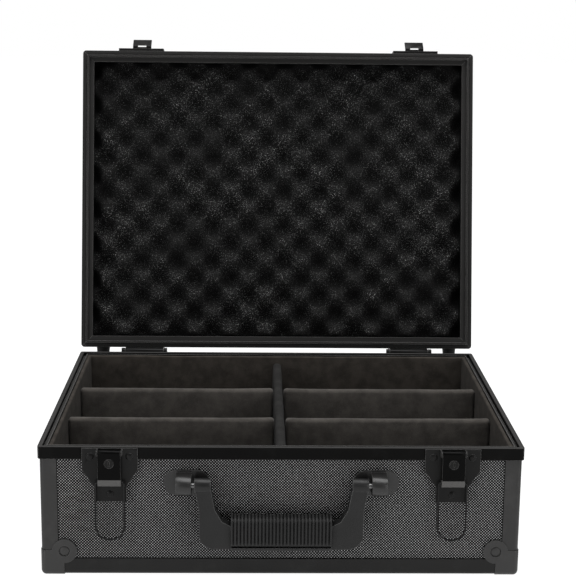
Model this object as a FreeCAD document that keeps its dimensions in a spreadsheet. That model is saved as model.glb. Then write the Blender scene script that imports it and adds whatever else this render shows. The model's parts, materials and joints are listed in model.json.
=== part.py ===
import FreeCAD, Part
import math
import os
import Sketcher
from FreeCAD import Rotation, Vector

# A hard carry case with an aluminium-profile frame: a lined base with six compartments, a foam-lined
# lid on two stop hinges, two key-lock toggle latches and a folding handle.
#
# Frame: origin on the floor under the centre of the base, +X to the right, +Y to the hinge side, +Z up.
# The front face carries the latches and the handle. The lid is built closed and swung open about the
# hinge axis at the end, so every lid size below is read with the lid shut.
#
# Two local frames repeat. A "side" piece is built as the front one (outer face towards -Y, centred on
# X, Z = 0 at the seam and negative away from it) and turned by quarter turns. A "corner" piece has the
# case's corner at its origin and grows along +X, +Y and +Z. The lid's pieces are the same ones flipped.

SIZES = {
    # the case as a whole
    "case_width": 455,
    "case_depth": 345,
    "base_height": 128,
    "lid_height": 48.5,
    "seam_gap": 0.4,
    "open_angle": 102.4,
    # rim profile round the opening
    "rim_height": 12,
    "rim_web_top": 4.5,
    "rim_web_bottom": 7,
    "lip_width": 4.6,
    "groove_width": 3.4,
    "rim_width": 9.2,
    "rim_step": 0.8,
    "tongue_gap": 0.6,
    "tongue_width": 2.2,
    "tongue_drop": 3.7,
    "lid_rim_width": 13,
    "lid_rim_relief": 1.2,
    "corner_round": 4,
    "lip_round": 0.8,
    # frame profiles and panels
    "frame_inset": 1.65,
    "frame_wall": 1.6,
    "frame_leg": 16,
    "frame_round": 4.2,
    "panel_thickness": 4,
    # corner caps
    "cap_proud": 0.8,
    "cap_reach": 22.2,
    "cap_height": 25.5,
    "cap_round": 5,
    "lobe_radius": 11.8,
    "lobe_offset": 22.45,
    "lobe_height": 24.3,
    "lobe_recess_radius": 5.2,
    "lobe_recess_depth": 1.3,
    "cap_rivet_radius": 4.8,
    "cap_rivet_height": 1.2,
    # lining, dividers and foam
    "lining_width": 13.3,
    "lining_drop": 1,
    "lining_round": 1.5,
    "floor_lining": 3,
    "divider_thickness": 9.8,
    "divider_drop": 8,
    "divider_round": 4,
    "divider_row_offset": 52.5,
    "foam_drop": 10,
    "foam_clearance": 0.3,
    # hinges
    "hinge_offset": 154,
    "hinge_setback": 4,
    "hinge_plate_width": 53,
    "hinge_plate_height": 27,
    "hinge_lid_height": 25,
    "hinge_lid_lift": 0.6,
    "hinge_plate_thickness": 1.5,
    "hinge_barrel_radius": 3.4,
    "hinge_barrel_length": 44,
    "hinge_ear_width": 4,
    "hinge_ear_gap": 0.4,
    "hinge_ear_drop": 1,
    "hinge_leaf_gap": 0.4,
    "hinge_web": 3,
    "hinge_rivet_offset": 15.9,
    "hinge_rivet_distance": 16.2,
    "hinge_pin_radius": 1.75,
    # toggle latches
    "latch_offset": 160,
    "latch_plate_top": 127.3,
    "latch_plate_bottom": 74.8,
    "latch_plate_shoulder": 106,
    "latch_plate_neck": 90,
    "latch_plate_width": 52,
    "latch_tongue_width": 30.6,
    "latch_plate_thickness": 1.5,
    "latch_rivet_offset": 18.3,
    "latch_rivet_level": 119.2,
    "latch_rivet_low_level": 82.4,
    "latch_rivet_radius": 3.7,
    "lever_width": 21.5,
    "lever_stand": 6,
    "lever_pivot_level": 123.8,
    "lever_barrel_radius": 3,
    "lever_roll_level": 95.2,
    "lever_roll_radius": 3.4,
    "lever_skin": 1.6,
    "lever_cheek_depth": 4,
    "lever_pin_radius": 1.5,
    "lever_ear": 1.1,
    "lever_side_gap": 0.2,
    "lock_level": 114.5,
    "lock_radius": 4.4,
    "lock_proud": 0.4,
    "lock_depth": 4.2,
    "lock_cam_length": 7,
    "lock_cam_width": 3,
    "lock_cam_thickness": 1.2,
    "key_slot_width": 0.9,
    "key_slot_height": 4.5,
    "key_slot_depth": 1.5,
    "bail_half_width": 13.3,
    "bail_wire_radius": 1,
    "bail_bottom": 38,
    "bail_bend": 2,
    "bail_stub_end": 7,
    # lid catches
    "catch_plate_width": 52,
    "catch_plate_height": 25,
    "catch_plate_thickness": 3,
    "catch_plate_lift": 0.8,
    "catch_rivet_offset": 21,
    "catch_hook_level": 13,
    "catch_hook_reach": 16.5,
    "catch_hook_rise": 9,
    "catch_hook_bend": 8,
    "catch_hook_root": 0.5,
    "catch_hook_round": 1.2,
    "catch_bend_run": 1.2,
    "catch_bend_rise": 0.9,
    "catch_tip_height": 2,
    "catch_tip_round": 0.6,
    "catch_skin": 1.6,
    "catch_slot_width": 9.7,
    "catch_slot_depth": 1.9,
    "catch_slot_reach": 7.6,
    # handle
    "handle_level": 93.8,
    "handle_stand": 12.2,
    "bracket_offset": 88.8,
    "bracket_width": 43.5,
    "bracket_height": 25,
    "bracket_thickness": 1.6,
    "bracket_drop": 1,
    "barrel_offset": 91.2,
    "barrel_length": 14.5,
    "barrel_radius": 9.3,
    "handle_arm_outer": 81,
    "handle_arm_inner": 66,
    "handle_eye_radius": 7,
    "handle_arm_depth": 12,
    "handle_arm_lean": 4,
    "handle_corner_lean": 4.5,
    "handle_corner_round": 14,
    "handle_flare": 8,
    "handle_flare_rise": 4,
    "handle_bottom": 33,
    "handle_shoulder": 56,
    "handle_pin_radius": 2.5,
    "handle_pin_recess": 1,
    "handle_clearance": 0.06,
    "grip_half_length": 47,
    "grip_top": 64.8,
    "grip_bottom": 35.5,
    "grip_depth": 22,
    "grip_round": 7,
    "grip_core_top": 52,
    "grip_core_depth": 12,
    "grip_strip_depth": 18.5,
    "rib_pitch": 3.3,
    "rib_groove": 1.5,
    "rib_depth": 1.3,
    # small fasteners and feet
    "rivet_radius": 3.2,
    "rivet_head": 1.5,
    "rivet_shank": 1.5,
    "foot_radius": 8,
    "foot_tip_radius": 6.8,
    "foot_height": 12,
    "pin_clearance": 0.06,
}

doc = FreeCAD.newDocument("carry_case")
dims = doc.addObject("Spreadsheet::Sheet", "dims")
for row, (alias, value) in enumerate(SIZES.items(), start=1):
    dims.set(f"A{row}", alias)
    dims.set(f"B{row}", str(value))
    dims.setAlias(f"B{row}", alias)
doc.recompute()

nodes = []

X_AXIS = Vector(1, 0, 0)
Y_AXIS = Vector(0, 1, 0)
Z_AXIS = Vector(0, 0, 1)
# turns that carry a primitive's own Z axis onto each axis
ALONG = {
    "X": Rotation(Y_AXIS, 90),
    "Y": Rotation(X_AXIS, -90),
    "Z": Rotation(),
}


def d(expression):
    """An expression in which each @word stands for that cell of the sheet."""
    return str(expression).replace("@", "dims.")


def number(expression):
    value = dims.evalExpression(d(expression))
    return float(getattr(value, "Value", value))


def bind(obj, **expressions):
    for name, expression in expressions.items():
        obj.setExpression(name, d(expression))


def move_to(obj, at, rotation=None):
    if rotation is not None:
        obj.Placement.Rotation = rotation
    for letter, expression in zip("xyz", at):
        obj.setExpression(f"Placement.Base.{letter}", d(expression))


# ---- primitives, placed by their centres ----

def box(name, centre, size):
    obj = doc.addObject("Part::Box", name)
    bind(obj, Length=size[0], Width=size[1], Height=size[2])
    move_to(obj, [f"({c}) - ({s}) / 2" for c, s in zip(centre, size)])
    return obj


def span_box(name, low, high):
    centre = [f"(({a}) + ({b})) / 2" for a, b in zip(low, high)]
    return box(name, centre, [f"({b}) - ({a})" for a, b in zip(low, high)])


def cylinder(name, axis, centre, radius, length):
    obj = doc.addObject("Part::Cylinder", name)
    bind(obj, Radius=radius, Height=length)
    start = list(centre)
    index = "XYZ".index(axis)
    start[index] = f"({centre[index]}) - ({length}) / 2"
    move_to(obj, start, ALONG[axis])
    return obj


def dome(name, at, radius, height, facing):
    """A rivet head: half an ellipsoid standing on a flat face, its top towards `facing`."""
    obj = doc.addObject("Part::Ellipsoid", name)
    bind(obj, Radius1=height, Radius2=radius, Radius3=radius)
    obj.Angle1 = 0
    move_to(obj, at, Rotation(Z_AXIS, facing))
    return obj


# ---- booleans and groups ----

def fuse(name, *shapes):
    obj = doc.addObject("Part::MultiFuse", name)
    obj.Shapes = list(shapes)
    obj.Refine = True
    return obj


def common(name, *shapes):
    obj = doc.addObject("Part::MultiCommon", name)
    obj.Shapes = list(shapes)
    return obj


def cut(name, base, *tools):
    obj = doc.addObject("Part::Cut", name)
    obj.Base = base
    obj.Tool = tools[0] if len(tools) == 1 else fuse(name + "_tools", *tools)
    return obj


def placed(name, source, at, rotation):
    """The same piece again at another place."""
    obj = doc.addObject("Part::Compound", name)
    obj.Links = [source]
    move_to(obj, at, rotation)
    return obj


def mirrored(name, source):
    """The piece's twin on the other side of the case's middle plane."""
    obj = doc.addObject("Part::Mirroring", name)
    obj.Source = source
    obj.Normal = X_AXIS
    return obj


def node(label, *members, on_lid=False):
    """One sub-part. Its members are separate solids of one kind; a lid piece swings open here."""
    obj = doc.addObject("Part::Compound", label + "_node")
    obj.Label = label
    obj.Links = list(members)
    if on_lid:
        angle = "@open_angle"
        y = f"({HINGE_Y})"
        z = f"({HINGE_Z})"
        obj.Placement.Rotation = Rotation(-X_AXIS, 90)
        obj.setExpression("Placement.Rotation.Angle", d(angle))
        move_to(obj, ["0",
                      f"{y} - {y} * cos({angle}) - {z} * sin({angle})",
                      f"{z} + {y} * sin({angle}) - {z} * cos({angle})"])
    nodes.append(obj)
    return obj


def pair(label, piece, on_lid=False):
    """A left piece and its mirror image, each a node of its own."""
    node(label + "_left", piece, on_lid=on_lid)
    node(label + "_right", mirrored(label + "_twin", piece), on_lid=on_lid)


# ---- sketched pieces ----

def origin_plane(body, role):
    return next(f for f in body.Origin.OriginFeatures if f.Role == role)


def sketch_on(body, name, role):
    sketch = body.newObject("Sketcher::SketchObject", name)
    sketch.AttachmentSupport = [(origin_plane(body, role), "")]
    sketch.MapMode = "FlatFace"
    return sketch


def pin_point(sketch, geometry, end, point):
    """Holds one end of a line where the sheet says."""
    for kind, expression in zip(("DistanceX", "DistanceY"), point):
        constraint = Sketcher.Constraint(kind, -1, 1, geometry, end, number(expression))
        index = sketch.addConstraint(constraint)
        sketch.setExpression(f"Constraints[{index}]", d(expression))


def polygon(sketch, outline):
    corners = [Vector(number(u), number(v), 0) for u, v in outline]
    count = len(corners)
    for i in range(count):
        sketch.addGeometry(Part.LineSegment(corners[i], corners[(i + 1) % count]), False)
    for i in range(count):
        sketch.addConstraint(Sketcher.Constraint("Coincident", i, 2, (i + 1) % count, 1))
    for i, point in enumerate(outline):
        pin_point(sketch, i, 1, point)


def edges_at(shape, direction, spots):
    """Names of the edges along a direction that pass through any of the spots, seen along it."""
    names = []
    for i, edge in enumerate(shape.Edges, start=1):
        start, end = edge.Vertexes[0].Point, edge.Vertexes[-1].Point
        run = end - start
        if run.Length < 1e-6 or abs(run.normalize().dot(direction)) < 0.999:
            continue
        for spot in spots:
            gap = start - spot
            if (gap - direction * gap.dot(direction)).Length < 0.01:
                names.append(f"Edge{i}")
                break
    return names


PLANES = {
    "XY_Plane": (Z_AXIS, lambda u, v: Vector(u, v, 0)),
    "XZ_Plane": (Y_AXIS, lambda u, v: Vector(u, 0, v)),
    "YZ_Plane": (X_AXIS, lambda u, v: Vector(0, u, v)),
}


def prism(name, plane, outline, length, at=("0", "0", "0"), rounds=()):
    """A straight bar of the given outline, its length centred on the sketch plane. `rounds` lists
    (radius, corner numbers): those long edges are rounded."""
    body = doc.addObject("PartDesign::Body", name)
    sketch = sketch_on(body, name + "_outline", plane)
    polygon(sketch, outline)
    pad = body.newObject("PartDesign::Pad", name + "_pad")
    pad.Profile = sketch
    pad.SideType = "Symmetric"
    pad.setExpression("Length", d(length))
    doc.recompute()
    direction, lift = PLANES[plane]
    feature = pad
    for i, (radius, corners) in enumerate(rounds):
        spots = [lift(number(outline[c][0]), number(outline[c][1])) for c in corners]
        fillet = body.newObject("PartDesign::Fillet", f"{name}_round_{i}")
        fillet.Base = (feature, edges_at(feature.Shape, direction, spots))
        fillet.setExpression("Radius", d(radius))
        doc.recompute()
        feature = fillet
    move_to(body, at)
    return body


def ball_block(name, low, high, radius, corners):
    """A block whose upright edges at the given plan corners, and the lower edges that meet them, are
    rounded into ball corners."""
    body = doc.addObject("PartDesign::Body", name)
    sketch = sketch_on(body, name + "_outline", "XY_Plane")
    polygon(sketch, [(low[0], low[1]), (high[0], low[1]), (high[0], high[1]), (low[0], high[1])])
    pad = body.newObject("PartDesign::Pad", name + "_pad")
    pad.Profile = sketch
    pad.setExpression("Length", d(f"({high[2]}) - ({low[2]})"))
    doc.recompute()
    plan = [(low[0], low[1]), (high[0], low[1]), (high[0], high[1]), (low[0], high[1])]
    spots = [Vector(number(plan[c][0]), number(plan[c][1]), 0) for c in corners]
    edges = edges_at(pad.Shape, Z_AXIS, spots)
    for i, edge in enumerate(pad.Shape.Edges, start=1):
        ends = [v.Point for v in edge.Vertexes]
        level = max(abs(p.z) for p in ends) < 1e-6
        touches = any((p - spot).Length < 0.01 for p in ends for spot in spots)
        if level and touches:
            edges.append(f"Edge{i}")
    fillet = body.newObject("PartDesign::Fillet", name + "_round")
    fillet.Base = (pad, edges)
    fillet.setExpression("Radius", d(radius))
    move_to(body, ("0", "0", low[2]))
    return body


# ---- places that several pieces share ----

SEAM = "@base_height"
LID_SEAM = "@base_height + @seam_gap"
LID_TOP = "@base_height + @seam_gap + @lid_height"
FRONT = "-@case_depth / 2"
REAR = "@case_depth / 2"
HINGE_Y = "@case_depth / 2 + @hinge_setback"
HINGE_Z = "@base_height"
PANEL_INSET = "@frame_inset + @frame_wall"
PANEL_FACE = f"@case_depth / 2 - ({PANEL_INSET})"
WALL_INSIDE = f"{PANEL_INSET} + @panel_thickness"
SIDES = ("front", "right", "rear", "left")


class Half:
    """The base or the lid: where its seam plane lies and how its side and corner pieces turn."""

    def __init__(self, name, seam, outer, height, flipped):
        self.name = name
        self.seam = seam
        self.outer = outer
        self.height = height
        self.flipped = flipped

    def side(self, name, source, turns):
        rotation = Rotation(Z_AXIS, 90 * turns)
        if self.flipped:
            rotation = rotation * Rotation(Y_AXIS, 180)
        return placed(f"{self.name}_{name}_{SIDES[turns]}", source, ("0", "0", self.seam), rotation)

    def corner(self, name, source, turns, inset, level):
        rotation = Rotation(Z_AXIS, 90 * turns)
        if self.flipped:
            rotation = rotation * Rotation(Vector(1, 1, 0), 180)
        x_sign = "-" if turns in (0, 3) else ""
        y_sign = "-" if turns in (0, 1) else ""
        at = (f"{x_sign}(@case_width / 2 - ({inset}))", f"{y_sign}(@case_depth / 2 - ({inset}))", level)
        return placed(f"{self.name}_{name}_{turns}", source, at, rotation)


BASE = Half("base", SEAM, "0", "@base_height", flipped=False)
LID = Half("lid", LID_SEAM, LID_TOP, "@lid_height", flipped=True)


def run_and_reach(turns):
    """A side's full length, and how far its outer face lies from the middle of the case."""
    if turns % 2 == 0:
        return "@case_width", "@case_depth / 2"
    return "@case_depth", "@case_width / 2"


# ---- the shell: rims, rails, posts, panels and corner caps ----

def rim_section(half, reach):
    """Outline of the rim profile: in from the outer face, and away from the seam."""
    groove_end = "@lip_width + @groove_width"
    if half is BASE:
        inner_width = "@rim_width"
        points = [("@lip_width", "0"), ("@lip_width", "@rim_web_top"), (groove_end, "@rim_web_top"),
                  (groove_end, "@rim_step"), (inner_width, "@rim_step")]
    else:
        inner_width = "@lid_rim_width"
        near = "@lip_width + @tongue_gap"
        far = "@lip_width + @tongue_gap + @tongue_width"
        points = [("@lip_width", "0"), ("@lip_width", "@lid_rim_relief"), (near, "@lid_rim_relief"),
                  (near, "-@tongue_drop"), (far, "-@tongue_drop"), (far, "@rim_step"),
                  (inner_width, "@rim_step")]
    points = ([("0", "@rim_height"), ("0", "0")] + points
              + [(inner_width, "@rim_web_bottom"), (PANEL_INSET, "@rim_web_bottom"),
                 (PANEL_INSET, "@rim_height")])
    return [(f"-({reach}) + {u}", f"-({v})") for u, v in points]


def mitred(name, bar, run, reach, *blocks):
    """The bar between the two mitre planes of its side, trimmed to a block with rounded corners."""
    width = "@frame_inset + @frame_leg + @lining_width"
    outline = [(f"-({run}) / 2", f"-({reach})"), (f"({run}) / 2", f"-({reach})"),
               (f"({run}) / 2 - ({width})", f"-({reach}) + {width}"),
               (f"-({run}) / 2 + {width}", f"-({reach}) + {width}")]
    wedge = prism(name + "_mitre", "XY_Plane", outline, "3 * @base_height")
    return common(name + "_mitred", bar, wedge, *blocks)


def plan_block(name, run, low, high, inset, radius):
    """The half's outline seen from above, inset by so much, from one level to another."""
    other = "@case_depth" if run == "@case_width" else "@case_width"
    x, y = f"(({run}) / 2 - ({inset}))", f"(({other}) / 2 - ({inset}))"
    return ball_block(name, (f"-{x}", f"-{y}", low), (x, y, high), radius, (0, 1, 2, 3))


def build_rims(half):
    for turns, side in enumerate(SIDES):
        run, reach = run_and_reach(turns)
        name = f"{half.name}_rim_{side}"
        bar = prism(name + "_bar", "YZ_Plane", rim_section(half, reach), run,
                    rounds=[("@lip_round", (1, 2))])
        block = plan_block(name + "_block", run, "-2 * @rim_height", "2 * @rim_height", "0",
                           "@corner_round")
        piece = half.side("rim_place", mitred(name, bar, run, reach, block), turns)
        node(name, piece, on_lid=half is LID)


def build_rails(half):
    """Angle profiles along the four edges of the base's floor or the lid's top."""
    rails = []
    outer = f"{half.height} - @cap_proud"
    for turns, side in enumerate(SIDES):
        run, reach = run_and_reach(turns)
        face = f"-({reach}) + @frame_inset"
        outline = [(face, f"-({outer})"), (f"{face} + @frame_leg", f"-({outer})"),
                   (f"{face} + @frame_leg", f"-({outer}) + @frame_wall"),
                   (f"{face} + @frame_wall", f"-({outer}) + @frame_wall"),
                   (f"{face} + @frame_wall", f"-({outer}) + @frame_leg"),
                   (face, f"-({outer}) + @frame_leg")]
        name = f"{half.name}_rail_{side}"
        bar = prism(name + "_bar", "YZ_Plane", outline, f"{run} - 2 * @frame_inset",
                    rounds=[("@frame_round", (0,))])
        block = plan_block(name + "_block", run, f"-({outer})", "0", "@frame_inset", "@frame_round")
        rails.append(half.side("rail_place", mitred(name, bar, run, reach, block), turns))
    node(f"{half.name}_edge_rails", *rails, on_lid=half is LID)


def build_posts(half):
    """Angle profiles up the four corners, from the rails to the rim."""
    length = f"{half.height} - @cap_proud - @frame_leg - @rim_height"
    outline = [("0", "0"), ("@frame_leg", "0"), ("@frame_leg", "@frame_wall"),
               ("@frame_wall", "@frame_wall"), ("@frame_wall", "@frame_leg"), ("0", "@frame_leg")]
    post = prism(f"{half.name}_post", "XY_Plane", outline, length, rounds=[("@frame_round", (0,))])
    sign = "+" if half is LID else "-"
    level = f"{half.seam} {sign} (@rim_height + ({length}) / 2)"
    posts = [half.corner("post_place", post, turns, "@frame_inset", level) for turns in range(4)]
    node(f"{half.name}_corner_posts", *posts, on_lid=half is LID)


def build_panels(half):
    """Four walls between the rim's skirt and the rails, and the floor or top between the walls."""
    depth_end = f"{half.height} - @cap_proud - @frame_wall"
    walls = {}
    for turns, side in enumerate(SIDES):
        run, reach = run_and_reach(turns)
        length = f"{run} - 2 * ({PANEL_INSET})"
        if turns % 2:
            length += " - 2 * @panel_thickness"
        y = f"-({reach}) + {PANEL_INSET} + @panel_thickness / 2"
        height = f"{depth_end} - @rim_web_bottom"
        centre_z = f"-(({depth_end}) + @rim_web_bottom) / 2"
        name = f"{half.name}_panel_{side}"
        sheet = box(name + "_sheet", ("0", y, centre_z), (length, "@panel_thickness", height))
        walls[side] = half.side("panel_place", sheet, turns)
    node(f"{half.name}_panel_front", walls["front"], on_lid=half is LID)
    node(f"{half.name}_panel_rear", walls["rear"], on_lid=half is LID)
    node(f"{half.name}_side_panels", walls["left"], walls["right"], on_lid=half is LID)
    z = f"-({depth_end}) + @panel_thickness / 2"
    size = [f"@case_{way} - 2 * ({WALL_INSIDE})" for way in ("width", "depth")]
    sheet = box(f"{half.name}_flat_sheet", ("0", "0", z), (*size, "@panel_thickness"))
    label = "base_panel_bottom" if half is BASE else "lid_panel_top"
    node(label, half.side("flat_place", sheet, 0), on_lid=half is LID)


LOBES = {
    # face the lobe lies on: (axis, centre of the lobe on that face)
    "near": ("Y", ("@lobe_offset", "0", "@lobe_height")),
    "side": ("X", ("0", "@lobe_offset", "@lobe_height")),
    "flat": ("Z", ("@lobe_offset", "@lobe_offset", "0")),
}


def along(axis, point, depth):
    """The point moved into the case along an axis."""
    moved = list(point)
    moved["XYZ".index(axis)] = depth
    return moved


def build_cap(name):
    """A pressed corner: a rounded shell over the three edges, with a round riveted lobe on each face."""
    lobe_depth = "@cap_proud + @frame_wall"
    far = "3 * @cap_reach"
    block = ball_block(name + "_block", ("0",) * 3, ("@cap_reach", "@cap_reach", "@cap_height"),
                       "@cap_round", (0,))
    inside = ball_block(name + "_inside", ("@cap_proud",) * 3, (far,) * 3, "@cap_round - @cap_proud", (0,))
    shell = cut(name + "_corner", block, inside)
    discs = [cylinder(f"{name}_{face}", axis, along(axis, centre, f"({lobe_depth}) / 2"),
                      "@lobe_radius", lobe_depth)
             for face, (axis, centre) in LOBES.items()]
    leg_end = "@cap_proud + @frame_leg"
    post = span_box(name + "_post_space", ("@cap_proud",) * 3, (leg_end, leg_end, far))
    near_rail = span_box(name + "_near_space", ("@cap_proud",) * 3, (far, leg_end, leg_end))
    side_rail = span_box(name + "_side_space", ("@cap_proud",) * 3, (leg_end, far, leg_end))
    lobes = cut(name + "_lobes", fuse(name + "_discs", *discs), post, near_rail, side_rail)
    recesses = [cylinder(f"{name}_{face}_recess", axis, along(axis, centre, "0"),
                         "@lobe_recess_radius", "2 * @lobe_recess_depth")
                for face, (axis, centre) in LOBES.items()]
    return cut(name, fuse(name + "_whole", shell, lobes), *recesses)


def rivet_in_lobe(name, face):
    axis, centre = LOBES[face]
    facing = {"X": Vector(-1, 0, 0), "Y": Vector(0, -1, 0), "Z": Vector(0, 0, -1)}[axis]
    return dome(name, along(axis, centre, "@lobe_recess_depth"), "@cap_rivet_radius",
                "@cap_rivet_height", facing)


# the lobes of the two rear corners that face the rear carry feet instead of rivets
FOOT_LOBES = {BASE: {2: "near", 3: "side"}, LID: {2: "side", 3: "near"}}


def build_caps(half):
    cap = build_cap(f"{half.name}_cap")
    inset = "@frame_inset - @cap_proud"
    rivets = {face: rivet_in_lobe(f"{half.name}_rivet_{face}", face) for face in LOBES}
    caps = [half.corner("cap_place", cap, turns, inset, half.outer) for turns in range(4)]
    heads = [half.corner(f"{face}_rivet_place", rivet, turns, inset, half.outer)
             for turns in range(4) for face, rivet in rivets.items()
             if FOOT_LOBES[half].get(turns) != face]
    node(f"{half.name}_corner_caps", *caps, on_lid=half is LID)
    node(f"{half.name}_corner_rivets", *heads, on_lid=half is LID)


def build_feet(half):
    """Rubber feet on the rear wall, which is the underside when the case is carried."""
    sign = "-" if half is LID else "+"
    level = f"{half.outer} {sign} @lobe_height"
    recess_floor = "@case_depth / 2 - (@frame_inset - @cap_proud) - @lobe_recess_depth"
    x = "-(@case_width / 2 - (@frame_inset - @cap_proud) - @lobe_offset)"
    collar = cylinder(f"{half.name}_foot_collar", "Y",
                      (x, f"{recess_floor} + @lobe_recess_depth / 2", level),
                      "@cap_rivet_radius", "@lobe_recess_depth")
    cone = doc.addObject("Part::Cone", f"{half.name}_foot_cone")
    bind(cone, Radius1="@foot_radius", Radius2="@foot_tip_radius", Height="@foot_height")
    move_to(cone, (x, f"{recess_floor} + @lobe_recess_depth", level), ALONG["Y"])
    foot = fuse(f"{half.name}_foot", collar, cone)
    node(f"{half.name}_rear_feet", foot, mirrored(f"{half.name}_foot_twin", foot), on_lid=half is LID)


# ---- soft lining, dividers and foam ----

FLOOR_TOP = "@cap_proud + @frame_wall + @panel_thickness"
LINING_TOP = f"{FLOOR_TOP} + @floor_lining"


def build_lining():
    size = [f"@case_{way} - 2 * ({WALL_INSIDE})" for way in ("width", "depth")]
    floor = box("floor_sheet", ("0", "0", f"{FLOOR_TOP} + @floor_lining / 2"), (*size, "@floor_lining"))
    node("floor_lining", floor)
    walls = []
    for turns, side in enumerate(SIDES):
        run, reach = run_and_reach(turns)
        face = f"-({reach})"
        bottom = f"-(@base_height - ({LINING_TOP}))"
        outline = [(f"{face} + {WALL_INSIDE}", bottom), (f"{face} + @lining_width", bottom),
                   (f"{face} + @lining_width", "-@lining_drop"), (f"{face} + @rim_width", "-@lining_drop"),
                   (f"{face} + @rim_width", "-@rim_web_bottom"),
                   (f"{face} + {WALL_INSIDE}", "-@rim_web_bottom")]
        name = f"wall_pad_{side}"
        pad = prism(name, "YZ_Plane", outline, run, rounds=[("@lining_round", (2,))])
        walls.append(BASE.side("lining_place", mitred(name, pad, run, reach), turns))
    node("wall_linings", *walls)


def divider(name, plane, centre_u, length, at):
    """A padded board standing on the floor lining, its top edge rounded."""
    half = "@divider_thickness / 2"
    top = "@base_height - @divider_drop"
    outline = [(f"{centre_u} - {half}", LINING_TOP), (f"{centre_u} + {half}", LINING_TOP),
               (f"{centre_u} + {half}", top), (f"{centre_u} - {half}", top)]
    return prism(name, plane, outline, length, at=at, rounds=[("@divider_round", (2, 3))])


def build_dividers():
    inner_depth = "@case_depth - 2 * @lining_width"
    node("divider_long", divider("long_board", "XZ_Plane", "0", inner_depth, ("0", "0", "0")))
    length = "@case_width / 2 - @lining_width - @divider_thickness / 2"
    middle = f"(@divider_thickness / 2 + ({length}) / 2)"
    for x_sign, x_name in (("-", "left"), ("", "right")):
        for y_sign, y_name in (("-", "front"), ("", "rear")):
            board = divider(f"short_board_{x_name}_{y_name}", "YZ_Plane", f"{y_sign}@divider_row_offset",
                            length, (f"{x_sign}{middle}", "0", "0"))
            node(f"divider_{x_name}_{y_name}", board)


def build_foam():
    """The block of foam that fills the lid behind its rim."""
    inset = f"2 * ({WALL_INSIDE} + @foam_clearance)"
    low = f"{LID_SEAM} + @foam_drop"
    high = f"{LID_TOP} - @cap_proud - @frame_wall - @panel_thickness"
    block = box("foam_block", ("0", "0", f"(({low}) + ({high})) / 2"),
                (f"@case_width - {inset}", f"@case_depth - {inset}", f"({high}) - ({low})"))
    node("lid_foam", block, on_lid=True)


# ---- hardware riveted to the shell ----

def rivets(label, spots, wall, facing, on_lid=False, radius="@rivet_radius"):
    """Domed heads on a mounting plate, with shanks that fill the plate's holes."""
    pieces = []
    sign = "" if facing.y > 0 else "-"
    for i, (x, level) in enumerate(spots):
        head = dome(f"{label}_head_{i}", (x, wall, level), radius, "@rivet_head", facing)
        shank = rivet_shank(f"{label}_shank_{i}", x, wall, level, sign)
        pieces.append(fuse(f"{label}_{i}", head, shank))
    node(label, *pieces, on_lid=on_lid)


def rivet_shank(name, x, wall, level, sign):
    inward = "-" if sign == "" else "+"
    return cylinder(name, "Y", (x, f"{wall} {inward} @latch_plate_thickness / 2", level),
                    "@rivet_shank", "@latch_plate_thickness")


def formed_plate(name, outline, front, seam_level, up=False):
    """A pressed plate whose back steps in from the rim's face to the panel's."""
    plate_depth = f"@latch_plate_thickness + {PANEL_INSET}"
    body = prism(name + "_blank", "XZ_Plane", outline, plate_depth,
                 at=("0", f"{front} + ({plate_depth}) / 2", "0"))
    edge = f"{seam_level} + @rim_height" if up else f"{seam_level} - @rim_height"
    wide = "@case_width"
    low, high = (f"{edge} - 3 * @rim_height", edge) if up else (edge, f"{edge} + 3 * @rim_height")
    step = span_box(name + "_rim_space", (f"-({wide})", FRONT, low), ("0", "0", high))
    return cut(name + "_formed", body, step)


LATCH_X = "-@latch_offset"
PLATE_FRONT = f"{FRONT} - @latch_plate_thickness"
PIVOT_Y = f"{FRONT} - @lever_stand"
LATCH_RIVETS = [(f"{LATCH_X} - @latch_rivet_offset", "@latch_rivet_level"),
                (f"{LATCH_X} + @latch_rivet_offset", "@latch_rivet_level"),
                (LATCH_X, "@latch_rivet_low_level")]


def build_latch_plate():
    wide, narrow = "@latch_plate_width / 2", "@latch_tongue_width / 2"
    right = [(wide, "@latch_plate_top"), (wide, "@latch_plate_shoulder"), (narrow, "@latch_plate_neck"),
             (narrow, "@latch_plate_bottom")]
    outline = [(f"{LATCH_X} + {u}", v) for u, v in right]
    outline += [(f"{LATCH_X} - {u}", v) for u, v in reversed(right)]
    plate = formed_plate("latch_plate", outline, PLATE_FRONT, SEAM)
    ears = []
    for i, sign in enumerate("-+"):
        x = f"{LATCH_X} {sign} (@lever_width / 2 + @lever_side_gap + @lever_ear / 2)"
        ears.append(cylinder(f"latch_ear_eye_{i}", "X", (x, PIVOT_Y, "@lever_pivot_level"),
                             "@lever_barrel_radius", "@lever_ear"))
        ears.append(box(f"latch_ear_web_{i}",
                        (x, f"(({PIVOT_Y}) + ({PLATE_FRONT})) / 2", "@lever_pivot_level"),
                        ("@lever_ear", f"({PLATE_FRONT}) - ({PIVOT_Y})", "2 * @lever_barrel_radius")))
    holes = [rivet_shank(f"latch_hole_{i}", x, PLATE_FRONT, z, "-")
             for i, (x, z) in enumerate(LATCH_RIVETS)]
    holes.append(cylinder("latch_pin_hole", "X", (LATCH_X, PIVOT_Y, "@lever_pivot_level"),
                          "@lever_pin_radius", "2 * @lever_width"))
    pair("latch_plate", cut("latch_plate_left_piece", fuse("latch_plate_whole", plate, *ears), *holes))
    twins = [(f"-({x})", z) for x, z in LATCH_RIVETS]
    rivets("latch_rivets", LATCH_RIVETS + twins, PLATE_FRONT, -Y_AXIS, radius="@latch_rivet_radius")
    pin = cylinder("lever_pin", "X", (LATCH_X, PIVOT_Y, "@lever_pivot_level"), "@lever_pin_radius",
                   "@lever_width + 2 * (@lever_side_gap + @lever_ear)")
    node("latch_lever_pins", pin, mirrored("lever_pin_twin", pin))


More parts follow.
